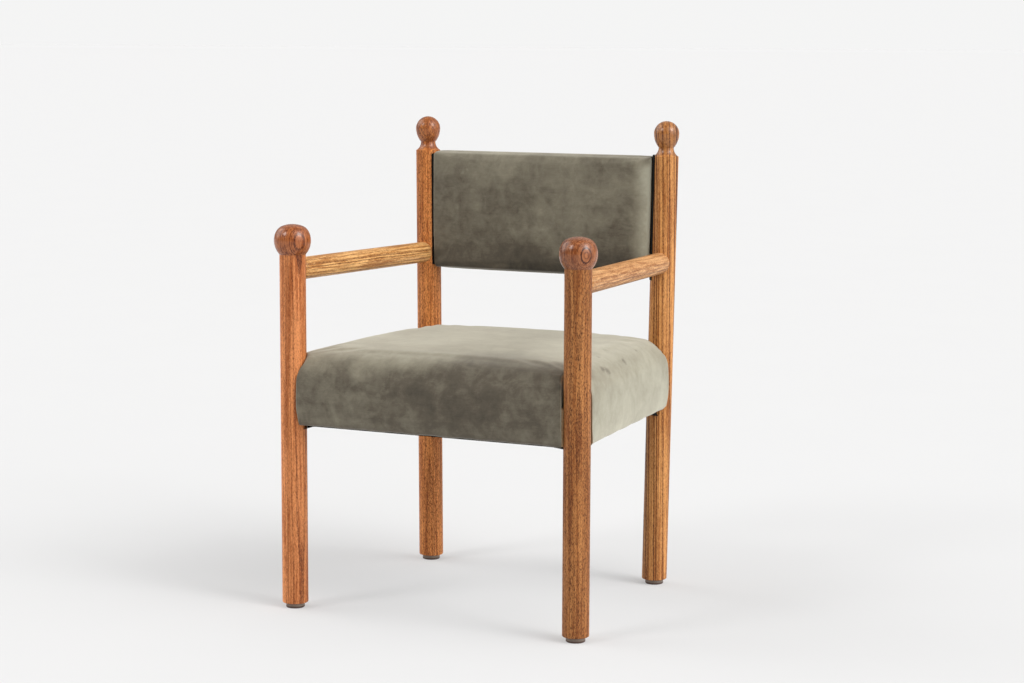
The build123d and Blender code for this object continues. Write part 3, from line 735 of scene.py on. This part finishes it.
bpy.ops.mesh.select_all(action="INVERT")
bpy.ops.mesh.delete(type="VERT")
bpy.ops.object.mode_set(mode="OBJECT")
drawn_onto(seat, "seat_cover", points_of(seat)[:, 2] > seat_low + 0.003)
print("seat skin:", len(seat.data.polygons), "faces")

# %% Soften the shoulders and blow up the seat
SEAT_PASSES = 56        # rounds of smoothing
SEAT_DRAWN_IN = 0.0008  # how far the skin is drawn in,
SEAT_SWELL = 0.0022     # and how far it may swell
SEAT_HOLD_POST = 0.014  # the leather is held this near a post,
SEAT_HOLD_HEM = 0.022   # and this far above its hem

points = points_of(seat)
to_post = from_nearest_post(points, ALL_POSTS)
height = points[:, 2] - seat_low
upper = 0.35 + 0.65 * np.clip((height - 0.05) / 0.05, 0.0, 1.0)
beside = 0.06 + 0.76 * smooth((height - 0.080) / 0.03)              # beside a post only the top is softened
weigh(seat, "soft", upper * (beside + (1.0 - beside) * smooth((to_post - 0.004) / 0.022)))
softened(seat, "soft", SEAT_PASSES)
clear_of_posts(seat, ALL_POSTS, POST_GAP)
points = points_of(seat)
held = np.clip(1.0 - from_nearest_post(points, ALL_POSTS) / SEAT_HOLD_POST, 0.0, 1.0)
held = np.maximum(held, np.clip(1.0 - (points[:, 2] - seat_low) / SEAT_HOLD_HEM, 0.0, 1.0))
blown_up(seat, held, SEAT_DRAWN_IN, SEAT_SWELL)

# %% [markdown]
# The leather is pulled round the posts by hand, so each corner differs. At most
# posts a face is drawn on a little round the wood and its hem is tucked in. At
# the front right post the front face rolls in and leaves a thin dark gap. The
# hem itself is not quite straight.

# %% Draw the leather round the posts
FRONT = np.array((0.0, -1.0, 0.0))
REAR = -FRONT
LEFT = np.array((-1.0, 0.0, 0.0))
RIGHT_SIDE = np.array((0.9971, 0.0762, 0.0))   # outwards from the right face
LEFT_SIDE = RIGHT_SIDE * (-1, 1, 1)
RIGHT_BACK = np.array((-0.0762, 0.9971, 0.0))  # backwards along the right face
LEFT_BACK = RIGHT_BACK * (-1, 1, 1)
DRAWN = (0.050, 0.0035, 0.0011, 0.0040)        # reach, along, outwards, hem tucked in
ROLLED = (0.022, 0.0, -0.0065, 0.0020)         # the same at the front right post
DRAWN_GAP = 0.0004
ROLLED_GAP = 0.0042
HEM_HEIGHT = 0.02
HEM_RIPPLES = ((0.0004, 95, 0, 1.3), (0.0002, 231, 0, 0.0), (0.0002, 70, 1, 0.0))  # size, pace, axis, start


def tuck(points, key, outward, along, amounts):
    """Draws one face round a post: along the face, outwards, and in at the hem."""
    reach, forward, out, hem = amounts
    foot, lean = POST_AXES[key]
    offset = points - np.array(foot) - np.outer(points[:, 2], np.array(lean))
    proud = offset @ outward
    away = -(offset @ along)
    near = smooth(1.0 - (away - 0.006) / reach) * smooth((proud - 0.004) / 0.014) * (away > -0.03)
    height = points[:, 2] - seat_low
    middle = smooth((height - 0.006) / 0.03) * smooth((0.125 - height) / 0.035)
    under = np.clip(1.0 - height / 0.014, 0.0, 1.0) ** 2
    shift = np.outer(near * middle, along * forward + outward * out)
    return points + shift - np.outer(near * under, outward * hem)


points = points_of(seat)
for side, face, back_way, front_way in ((-1, LEFT_SIDE, LEFT_BACK, DRAWN),
                                        (1, RIGHT_SIDE, RIGHT_BACK, ROLLED)):
    points = tuck(points, (True, side), FRONT, LEFT * -side, front_way)
    points = tuck(points, (True, side), face, -back_way, front_way)
    points = tuck(points, (False, side), face, back_way, DRAWN)
    points = tuck(points, (False, side), REAR, LEFT * -side, DRAWN)
hem = np.clip(1.0 - (points[:, 2] - seat_low) / HEM_HEIGHT, 0.0, 1.0)
for size, pace, axis, start in HEM_RIPPLES:
    points[:, 2] += hem * size * np.sin(pace * points[:, axis] + start)
move_points(seat, points)
clear_of_posts(seat, ALL_POSTS, DRAWN_GAP)
clear_of_posts(seat, [(True, 1)], ROLLED_GAP)
print("seat drawn round", len(ALL_POSTS), "posts")

# %% [markdown]
# On the top, the painted shade of the front turns to painted light a little
# behind the front edge, along a wavy line. A table gives that line from left to
# right. The smudges are moved onto the finished leather before its material is made.

# %% Dress the seat
# the top turns from the painted shade of the front to painted light along this line
SEAT_SHADE_LINE = (  # place from the middle, line behind the front edge, half width of the turn
    (-0.20, -0.012, 0.050), (-0.075, -0.012, 0.048), (0.025, 0.022, 0.062),
    (0.10, 0.110, 0.085), (0.19, 0.056, 0.055), (0.29, 0.050, 0.055))

spots = [(tuple(seat.closest_point_on_mesh(Vector(place))[1]), size) for place, size in SEAT_SMUDGES]
# foot adds painted light to the seat's lower edge; the table places the painted shade of the front
finish_soft(seat, make_nubuck("nubuck_seat", 2.3, spots), foot=0.26, turn=SEAT_SHADE_LINE)
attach(seat, "root")
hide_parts("seat_cover", "seat_foam", "rail_padding")
print("seat cushion:", len(seat.data.polygons), "faces,", len(spots), "smudges")

# %% [markdown]
# ## The back
# The back is a thinner pad on a plywood board. It sits between the rear posts,
# just in front of their middles, so its sides are hollowed where they touch the
# posts. Its edges roll over softly and its face is slightly crowned. It leans
# and widens with the posts, so the block is sheared and tapered first.

# %% Back cushion
REAR_POSTS = [(False, -1), (False, 1)]
BACK_CORNER = 0.0085    # rounding of the four corners,
BACK_EDGE = 0.008       # of the edges of the face,
BACK_REAR_EDGE = 0.002  # and of the edges at the rear
BACK_VOXEL = 0.0042

low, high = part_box("back_cover")
back_low, back_high = low.copy(), high.copy()
tall = high.z - low.z
middle_y, middle_z = (low.y + high.y) / 2, (low.z + high.z) / 2
back = block("back_cushion", low, Vector((high.x, high.y - tall * np.tan(REAR_RAKE), high.z)))
choose(back, lambda co: co.z < middle_z)
bpy.ops.transform.resize(value=(1 - tall * np.tan(REAR_SPLAY) / high.x, 1, 1), center_override=(0, 0, 0))
choose(back, lambda co: co.z > middle_z)
bpy.ops.transform.translate(value=(0, tall * np.tan(REAR_RAKE), 0))
choose(back, lambda start, end: abs(start.y - end.y) > 0.02, edges=True)
bpy.ops.mesh.bevel(offset=BACK_CORNER, segments=6)
choose(back, lambda co: co.y < middle_y)
bpy.ops.mesh.bevel(offset=BACK_EDGE, segments=5)
choose(back, lambda co: co.y > high.y - 0.006)
bpy.ops.mesh.bevel(offset=BACK_REAR_EDGE, segments=2)
bpy.ops.object.mode_set(mode="OBJECT")
cut_round_posts(back, REAR_POSTS, POST_GAP)
even_skin(back, BACK_VOXEL)
rear_y = high.y - 0.004
drawn_onto(back, "back_cover", points_of(back)[:, 1] < rear_y - 0.002)
print("back skin:", len(back.data.polygons), "faces")

# %% Blow up the back, roll its right end and turn its corners
BACK_DRAWN_IN = 0.0006  # how far the skin is drawn in,
BACK_SWELL = 0.0016     # and how far it may swell
BACK_HOLD_POST = 0.010  # the leather is held this near a post,
BACK_HOLD_REAR = 0.012  # and this near the rear
BACK_ROLL = 0.015       # the right end of the face rolls back over this width
BACK_ROLL_DEPTH = 0.75 * BACK_ROLL
BACK_FACE = 0.022       # depth behind the face that rolls with it
BACK_TURN = 0.010       # the corners are turned to this radius
# the black linings at the posts stand in as painted shadow between the leather and the posts
SHADOW_LINING_GAP = {(False, -1): 0.0014, (False, 1): 0.0026}  # room for the black linings at the posts

points = points_of(back)
held = np.clip(1.0 - from_nearest_post(points, REAR_POSTS) / BACK_HOLD_POST, 0.0, 1.0)
held = np.maximum(held, np.clip(1.0 - (rear_y - points[:, 1]) / BACK_HOLD_REAR, 0.0, 1.0))
blown_up(back, held, BACK_DRAWN_IN, BACK_SWELL)
points = points_of(back)
half = high.x - (high.z - points[:, 2]) * np.tan(REAR_SPLAY)
inward = np.clip((half - points[:, 0]) / BACK_ROLL, 0.0, 1.0)
front_y = low.y + (points[:, 2] - low.z) * np.tan(REAR_RAKE)
forward = smooth(1.0 - (points[:, 1] - front_y) / BACK_FACE)
points[:, 1] += BACK_ROLL_DEPTH * (1.0 - np.sqrt(1.0 - (1.0 - inward) ** 2)) * forward
for side in (-1, 1):
    for level, way in ((high.z, 1), (low.z, -1)):
        near_end = 1.0 - (half - side * points[:, 0]) / BACK_TURN
        near_edge = 1.0 - way * (level - points[:, 2]) / BACK_TURN
        beyond = np.hypot(near_end, near_edge)
        outside = (near_end > 0.0) & (near_edge > 0.0) & (beyond > 1.0)
        ratio = 1.0 / beyond[outside]
        points[outside, 0] = side * (half[outside] - BACK_TURN * (1.0 - near_end[outside] * ratio))
        points[outside, 2] = level - way * BACK_TURN * (1.0 - near_edge[outside] * ratio)
move_points(back, points)
for key, gap in SHADOW_LINING_GAP.items():
    clear_of_posts(back, [key], gap)
# painted light and shade of the back: its right end, upper edge and upper part are painted lighter, its foot
# and its top darker
finish_soft(back, back_nubuck, ground=0.29, lids=-0.05, rim=0.02, foot=-0.42, ends=1.15, slope=0.22)
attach(back, "root")
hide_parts("back_cover", "back_foam")
print("back cushion:", len(back.data.polygons), "faces")

# %% [markdown]
# ## Black cloth
# Black cloth closes what the leather leaves open, and black sheets stand in
# for shadow. A black sheet covers each end of the back, hollow like the post
# beside it, and shows as a black line: painted shadow between the leather and
# the post. The left one is shorter than the leather. The right one also shows as
# a black corner above and below, which is cloth lining. A dust cover is stapled
# under the seat, stretched flat, and its corners hang down a little at the
# posts. The weave is sets of fine waves that cross, one along each axis.

# %% Black cloth material, also used for painted shadow
BLACKS = ((0.004, 0.004, 0.004, 1.0), (0.016, 0.015, 0.014, 1.0))
THREADS = 260.0

cloth, tree, shader, place = fresh_material("black_cloth_and_painted_shadow")
weave = None
for axis in ("X", "Y", "Z"):
    thread = put(tree, "TexWave", {"Vector": place, "Scale": THREADS, "Distortion": 0.6, "Detail": 1.0},
                 bands_direction=axis).outputs[1]
    weave = thread if weave is None else calc(tree, "MULTIPLY_ADD", thread, 0.5, weave)
dusty = noise(tree, place, 40.0, 4.0, 0.6)
shade = calc(tree, "MULTIPLY_ADD", dusty, 0.5, calc(tree, "MULTIPLY", weave, 0.25), clamp=True)
fill(tree, shader, {"Base Color": blend_colours(tree, shade, *BLACKS), "Roughness": 0.9,
                    "Normal": relief(tree, weave, 0.3, 0.0003), "Specular IOR Level": 0.12})


def thicken(obj, thickness):
    """Gives a surface a thickness, half on each side."""
    thick = obj.modifiers.new("thick", "SOLIDIFY")
    thick.thickness = thickness
    thick.offset = 0.0
    apply_all(obj)


def finish_cloth(obj):
    """Smooths all but the sharp edges and gives a piece the black cloth."""
    select_only(obj)
    bpy.ops.object.shade_smooth_by_angle(angle=radians(40))
    obj.data.materials.append(cloth)


print("black cloth made")

# %% Lining and painted shadow at the ends of the back
SHADOW_LINING_RADIUS = POST_RADIUS + 0.0008
SHADOW_LINING_THICK = 0.0006
SHADOW_LINING_INNER = 0.0135  # the lining covers the post's round from this far off its middle
SHADOW_LINING_BEHIND = 0.004  # and ends this far behind it
SHADOW_LININGS = (  # side, name, reach below and above the leather, and before the post's middle
    (-1, "left", -0.006, -0.006, 0.0180),
    (1, "right", 0.0035, 0.0022, 0.025))

# each black sheet is painted shadow along an end of the back; only the right one's corners above and below
# are cloth lining
for side, side_name, under, over, reach in SHADOW_LININGS:
    foot, lean = POST_AXES[(False, side)]
    bottom = back_low.z - under
    top = back_high.z + over
    centre = foot + lean * ((bottom + top) / 2)
    bpy.ops.mesh.primitive_cylinder_add(vertices=120, radius=SHADOW_LINING_RADIUS, depth=top - bottom,
                                        end_fill_type="NOTHING", location=centre,
                                        rotation=lean.to_track_quat("Z", "Y").to_euler())
    shadow_lining = bpy.context.object
    shadow_lining.name = shadow_lining.data.name = "back_lining_painted_shadow_" + side_name
    bpy.ops.object.transform_apply()
    choose(shadow_lining, lambda co: (co.x - foot.x - lean.x * co.z) * side > -SHADOW_LINING_INNER
           or not -reach < co.y - foot.y - lean.y * co.z < SHADOW_LINING_BEHIND)
    bpy.ops.mesh.delete(type="VERT")
    bpy.ops.object.mode_set(mode="OBJECT")
    thicken(shadow_lining, SHADOW_LINING_THICK)
    finish_cloth(shadow_lining)
    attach(shadow_lining, "root")

# %% Dust cover under the seat
DUST_THICK = 0.0008
DUST_FRONT_HALF = 0.2784      # half widths at the front and at the rear
DUST_REAR_HALF = 0.2430
DUST_CUTS = 70
DUST_HANG = {(True, -1): 0.006, (True, 1): 0.002, (False, -1): 0.003, (False, 1): 0.010}
DUST_HANG_REACH = 0.022       # a corner hangs within this distance of its post
DUST_SAG = 0.003              # the middle sags by this much,
DUST_SAG_HALF = (0.24, 0.21)  # over these half widths

low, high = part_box("dust_cover")
bpy.ops.mesh.primitive_plane_add(size=1.0, location=(0, (low.y + high.y) / 2, low.z - 0.0002))
dust = bpy.context.object
dust.name = dust.data.name = "seat_dust_cover"
dust.scale = (2 * DUST_FRONT_HALF, high.y - low.y, 1)
bpy.ops.object.transform_apply()
choose(dust, lambda co: co.y > 0)
bpy.ops.transform.resize(value=(DUST_REAR_HALF / DUST_FRONT_HALF, 1, 1), center_override=(0, 0, 0))
bpy.ops.mesh.select_all(action="SELECT")
bpy.ops.mesh.subdivide(number_cuts=DUST_CUTS)
bpy.ops.object.mode_set(mode="OBJECT")
thicken(dust, DUST_THICK)
cut_round_posts(dust, ALL_POSTS, POST_GAP)
points = points_of(dust)
for key, hang in DUST_HANG.items():
    points[:, 2] -= hang * smooth(1.0 - (from_post(points, key) - POST_RADIUS) / DUST_HANG_REACH)
sag_x, sag_y = np.clip(1 - (points[:, :2] / DUST_SAG_HALF) ** 2, 0, 1).T
points[:, 2] -= DUST_SAG * sag_x * sag_y
move_points(dust, points)
finish_cloth(dust)
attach(dust, "root")
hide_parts("dust_cover")

# %% [markdown]
# ## The leather on the rear of the back
# A separate panel of the same leather closes the rear of the back. The turned-in
# edge makes a low step all round, and the middle stands out slightly. It starts
# as a thin block cut into small squares, whose corners are then rounded.

# %% Rear leather panel
REAR_THICK = 0.0015
REAR_CORNER = 0.0085  # radius of the corners
REAR_SWELL = 0.0022   # how far the middle stands out
REAR_GAP = 0.0003     # how far the panel stands behind its CAD place
REAR_CUTS = 54

low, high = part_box("outside_back")
tall = high.z - low.z
inner_y = high.y - REAR_THICK - tall * np.tan(REAR_RAKE) + REAR_GAP
panel = block("rear_leather", Vector((-high.x, inner_y, low.z)),
              Vector((high.x, inner_y + REAR_THICK, high.z)))
bpy.ops.object.mode_set(mode="EDIT")
bpy.ops.mesh.select_all(action="SELECT")
bpy.ops.mesh.subdivide(number_cuts=REAR_CUTS)
bpy.ops.object.mode_set(mode="OBJECT")
points = points_of(panel)
middle_z = (low.z + high.z) / 2
corner_x = np.clip((np.abs(points[:, 0]) - high.x + REAR_CORNER) / REAR_CORNER, 0, 1)
corner_z = np.clip((np.abs(points[:, 2] - middle_z) - tall / 2 + REAR_CORNER) / REAR_CORNER, 0, 1)
inset_x = REAR_CORNER * corner_x * (1 - np.sqrt(1 - corner_z ** 2 / 2))
inset_z = REAR_CORNER * corner_z * (1 - np.sqrt(1 - corner_x ** 2 / 2))
points[:, 0] -= np.sign(points[:, 0]) * inset_x
points[:, 2] -= np.sign(points[:, 2] - middle_z) * inset_z
across = 1 - (points[:, 0] / high.x) ** 2
upright = 1 - ((points[:, 2] - middle_z) / (tall / 2)) ** 2
outer = points[:, 1] > inner_y + 0.6 * REAR_THICK
points[:, 1] += REAR_SWELL * smooth(across * 6) * smooth(upright * 4) * outer
points[:, 0] *= 1 - (high.z - points[:, 2]) * np.tan(REAR_SPLAY) / high.x
points[:, 1] += (points[:, 2] - low.z) * np.tan(REAR_RAKE)
move_points(panel, points)
clear_of_posts(panel, REAR_POSTS, POST_GAP)
# the panel's faces look back, so ground lowers their painted light
finish_soft(panel, back_nubuck, levels=0, ground=-0.5)
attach(panel, "root")
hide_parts("outside_back")
print("rear leather:", len(panel.data.polygons), "faces")

# %% [markdown]
# ## Inside the chair and under the feet
# The rails and corner blocks inside the seat are beech, pale and even, and the
# back's board is plywood with thin bands at its edge. Screws and nails are plain
# steel. Brown moulded glides, paler above where they catch the light off the
# floor, stand under the feet. Little of this shows, but the chair can be turned
# over.

# %% Beech and plywood
BEECH = ((0.60, 0.40, 0.235), (0.50, 0.315, 0.175), (0.36, 0.205, 0.105))  # pale, middle and dark
PLAIN = dict(palette=BEECH, flecks=0.05, gloss=0.6)
SIDE_TURN = (0.0, radians(90.0), 0.0)  # grain from side to side
RAILS = {  # direction of the grain, and pith
    "front_seat_rail": (SIDE_TURN, (-0.2, -0.9)), "rear_seat_rail": (SIDE_TURN, (-0.2, 0.9)),
    "left_seat_rail": (ARM_TURN, (-0.9, 0.3)), "right_seat_rail": (ARM_TURN, (0.9, 0.3)),
}
CORNERS = [end + "_" + side_name for end in ("front", "rear") for side_name in ("left", "right")]

for node_name, (turn, pith) in RAILS.items():
    dress(node_name, make_wood("beech_" + node_name, pith, turn, 0.0052, lines=0.35, **PLAIN))
beech_blocks = make_wood("beech_blocks", (0.1, 0.9), ring=0.0045, lines=0.35, **PLAIN)
for corner in CORNERS:
    dress(corner + "_corner_block", beech_blocks)
pegs = make_wood("beech_dowels", (0.0, 0.7), ring=0.004, lines=0.3, **PLAIN)
dress("knob_dowels", pegs)
dress("back_dowels", pegs)

plywood, tree, shader, place = fresh_material("plywood")
leaf = put(tree, "TexWave", {"Vector": place, "Scale": 330.0, "Distortion": 0.5, "Detail": 2.0},
           bands_direction="Y").outputs[1]
veneer = noise(tree, stretched(tree, place, (6.0, 300.0, 160.0)), 1.0, 4.0, 0.6)
tone = calc(tree, "MULTIPLY_ADD", leaf, 0.5, calc(tree, "MULTIPLY", veneer, 0.6), clamp=True)
fill(tree, shader, {"Base Color": blend_colours(tree, tone, BEECH[0] + (1.0,), BEECH[2] + (1.0,)),
                    "Normal": relief(tree, veneer, 0.3, 0.0004), "Roughness": 0.65})
dress("back_board", plywood)
print("beech pieces dressed:", len(RAILS) + len(CORNERS) + 2)

# %% Webbing
JUTE = ((0.30, 0.215, 0.125, 1.0), (0.42, 0.32, 0.20, 1.0))
JUTE_GAP = (0.14, 0.095, 0.05, 1.0)     # the shade between the threads

webbing, tree, shader, place = fresh_material("woven_webbing")
over = put(tree, "TexWave", {"Vector": place, "Scale": 130.0}, bands_direction="X").outputs[1]
under = put(tree, "TexWave", {"Vector": place, "Scale": 130.0}, bands_direction="Y").outputs[1]
weave = calc(tree, "MULTIPLY", over, under)
jute = blend_colours(tree, noise(tree, place, 90.0, 3.0), *JUTE)
fill(tree, shader, {"Base Color": blend_colours(tree, weave, JUTE_GAP, jute),
                    "Normal": relief(tree, weave, 0.7, 0.0008), "Roughness": 0.9})
for way in ("lengthwise", "crosswise"):
    dress("seat_webbing_" + way, webbing)
print("webbing dressed")

# %% Steel and glides
STEELS = ((0.46, 0.46, 0.47, 1.0), (0.66, 0.66, 0.67, 1.0))
BROWNS = ((0.040, 0.018, 0.012, 1.0), (0.075, 0.036, 0.024, 1.0))
GLIDE_PALE = (0.235, 0.185, 0.145, 1.0)
GLIDE_FADE = (0.0022, 0.0050)           # heights between which a glide turns paler

steel, tree, shader, place = fresh_material("zinc_steel")
spangle = noise(tree, place, 700.0, 3.0, 0.6)
fill(tree, shader, {"Base Color": blend_colours(tree, spangle, *STEELS), "Metallic": 1.0,
                    "Roughness": calc(tree, "MULTIPLY_ADD", spangle, 0.25, 0.22)})
dress("corner_block_screws", steel)
dress("glide_nails", steel)

moulded, tree, shader, place = fresh_material("moulded_glide")
speck = noise(tree, place, 1400.0, 2.0, 0.6)
scuff = noise(tree, stretched(tree, place, (160.0, 160.0, 900.0)), 1.0, 3.0, 0.65)
upper = between(tree, put(tree, "SeparateXYZ", {0: place}).outputs[2], *GLIDE_FADE, 0.0, 0.8)
brown = blend_colours(tree, upper, blend_colours(tree, scuff, *BROWNS), GLIDE_PALE)
fill(tree, shader, {"Base Color": brown, "Roughness": calc(tree, "MULTIPLY_ADD", scuff, 0.3, 0.38),
                    "Normal": relief(tree, speck, 0.2, 0.0003)})
for corner in CORNERS:
    dress(corner + "_glide", moulded)
print("glides dressed:", len(CORNERS))
